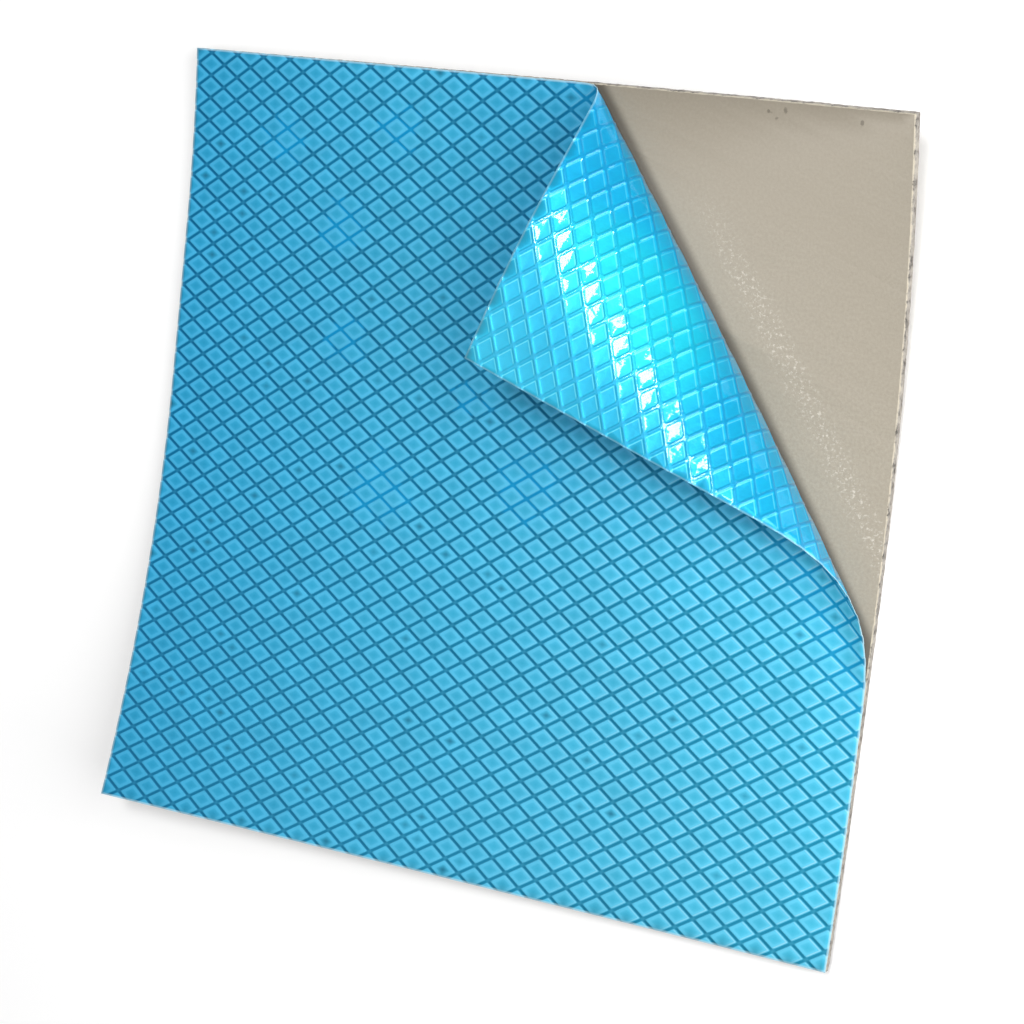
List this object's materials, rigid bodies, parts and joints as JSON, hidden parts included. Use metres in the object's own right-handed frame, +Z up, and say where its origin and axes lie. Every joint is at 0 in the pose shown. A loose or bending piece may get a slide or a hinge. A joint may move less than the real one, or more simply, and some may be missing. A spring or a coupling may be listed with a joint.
{
  "type": "thermal pad sheet",
  "caption": "Square silicone thermal pad sheet under an embossed blue release liner, with one corner of the liner peeled back.",
  "frame": {"origin": "middle of the sheet, on the level surface that its underside lies on", "axes": "+Z up, out of the face with the liner; +X across the sheet and +Y along it, with the peeled corner at +X +Y"},
  "size_m": [0.1002, 0.1, 0.0187],
  "materials": {
    "silicone": "matt, filled, warm grey",
    "film": "glossy embossed film, blue"
  },
  "bodies": {
    "root": {"thermal_pad": "silicone", "release_liner": "film"}
  },
  "joints": []
}
